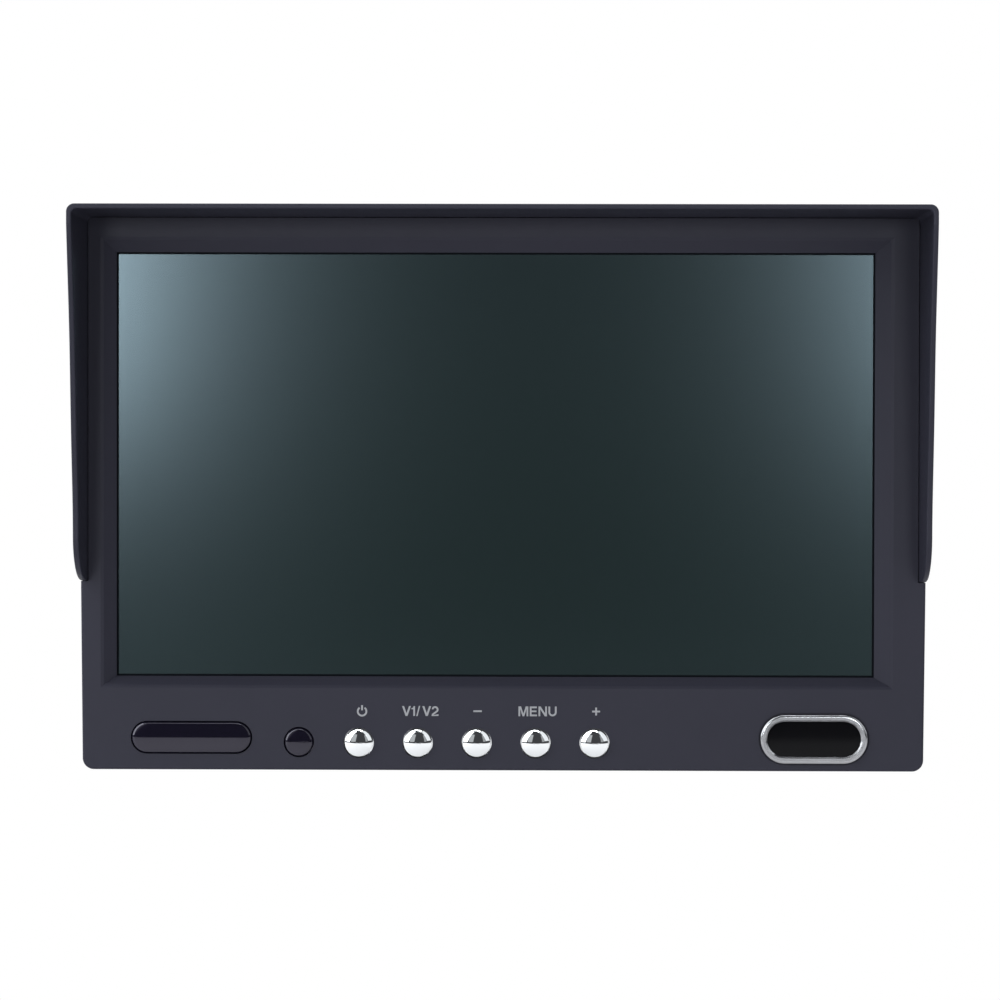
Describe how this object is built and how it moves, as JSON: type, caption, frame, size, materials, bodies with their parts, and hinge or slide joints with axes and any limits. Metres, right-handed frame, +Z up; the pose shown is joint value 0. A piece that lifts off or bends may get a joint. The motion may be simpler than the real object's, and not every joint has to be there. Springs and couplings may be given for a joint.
{
  "type": "vehicle rear-view camera monitor",
  "caption": "Flat vehicle monitor for a reversing camera, with a clip-on sun visor, push buttons along the lower edge and a threaded rear mounting pattern.",
  "frame": {"origin": "centre of the four-hole rear mounting pattern, on the face of the rear pad", "axes": "+X to the viewer's right along the width, +Y out of the back along the mounting screws (the screen faces -Y), +Z up"},
  "size_m": [0.172, 0.05, 0.114],
  "materials": {
    "case_plastic": "finely textured moulded ABS, charcoal",
    "visor_plastic": "finely textured moulded ABS, charcoal",
    "chrome_cap": "bright chrome plate on ABS",
    "satin_ring": "satin metal plate",
    "gloss_black": "polished, infra-red clear",
    "clear_lens": "polished smoke tint",
    "screen_film": "anti-glare film",
    "screen_glass": "display cell",
    "diffuser": "milky acrylic",
    "foam": "foam gasket",
    "sheet_steel": "plated sheet",
    "screw_steel": "zinc plated",
    "brass": "machined",
    "board_green": "solder mask",
    "chip_black": "moulded package",
    "can_aluminium": "sleeve-less can",
    "flex_amber": "polyimide film",
    "connector_white": "nylon",
    "switch_black": "nylon",
    "magnet_grey": "plated magnet",
    "cone_paper": "pressed film",
    "lead_red": "sleeved wire",
    "label_silver": "blank foil label"
  },
  "bodies": {
    "housing": {"front_bezel": "case_plastic", "rear_shell": "case_plastic", "ir_window": "clear_lens", "sensor_lens": "clear_lens", "badge_ring": "satin_ring", "badge_insert": "gloss_black", "lcd_gasket": "foam", "lcd_polariser": "screen_film", "lcd_glass": "screen_glass", "light_guide": "diffuser", "led_bar": "connector_white", "lcd_tray": "sheet_steel", "lcd_flex": "flex_amber", "panel_carrier": "sheet_steel", "carrier_screws": "screw_steel", "board_standoffs": "brass", "main_board": "board_green", "board_screws": "screw_steel", "video_chip": "chip_black", "small_chips": "chip_black", "capacitors": "can_aluminium", "inductors": "chip_black", "flex_connector": "connector_white", "key_board": "board_green", "key_board_screws": "screw_steel", "tact_switches": "switch_black", "ir_receiver": "chip_black", "light_sensor": "clear_lens", "ribbon_connectors": "connector_white", "key_ribbon": "connector_white", "speaker_frame": "switch_black", "speaker_cone": "cone_paper", "speaker_magnet": "magnet_grey", "speaker_leads": "lead_red", "socket_shell": "screw_steel", "socket_insert": "switch_black", "socket_contacts": "brass", "mount_inserts": "brass", "housing_screws": "screw_steel", "rating_label": "label_silver"},
    "sun_visor": {"sun_visor": "visor_plastic"},
    "power_button": {"power_button": "chrome_cap", "power_plunger": "switch_black"},
    "source_button": {"source_button": "chrome_cap", "source_plunger": "switch_black"},
    "minus_button": {"minus_button": "chrome_cap", "minus_plunger": "switch_black"},
    "menu_button": {"menu_button": "chrome_cap", "menu_plunger": "switch_black"},
    "plus_button": {"plus_button": "chrome_cap", "plus_plunger": "switch_black"}
  },
  "joints": [
    {"name": "visor_slide", "type": "slide", "parent": "housing", "child": "sun_visor", "axis": [0, -1, 0], "range_m": [0, 0.03]},
    {"name": "power_press", "type": "slide", "parent": "housing", "child": "power_button", "axis": [0, 1, 0], "range_m": [0, 0.0004], "stiffness_N_per_m": 2500, "springref_m": -0.0002},
    {"name": "source_press", "type": "slide", "parent": "housing", "child": "source_button", "axis": [0, 1, 0], "range_m": [0, 0.0004], "stiffness_N_per_m": 2500, "springref_m": -0.0002},
    {"name": "minus_press", "type": "slide", "parent": "housing", "child": "minus_button", "axis": [0, 1, 0], "range_m": [0, 0.0004], "stiffness_N_per_m": 2500, "springref_m": -0.0002},
    {"name": "menu_press", "type": "slide", "parent": "housing", "child": "menu_button", "axis": [0, 1, 0], "range_m": [0, 0.0004], "stiffness_N_per_m": 2500, "springref_m": -0.0002},
    {"name": "plus_press", "type": "slide", "parent": "housing", "child": "plus_button", "axis": [0, 1, 0], "range_m": [0, 0.0004], "stiffness_N_per_m": 2500, "springref_m": -0.0002}
  ]
}
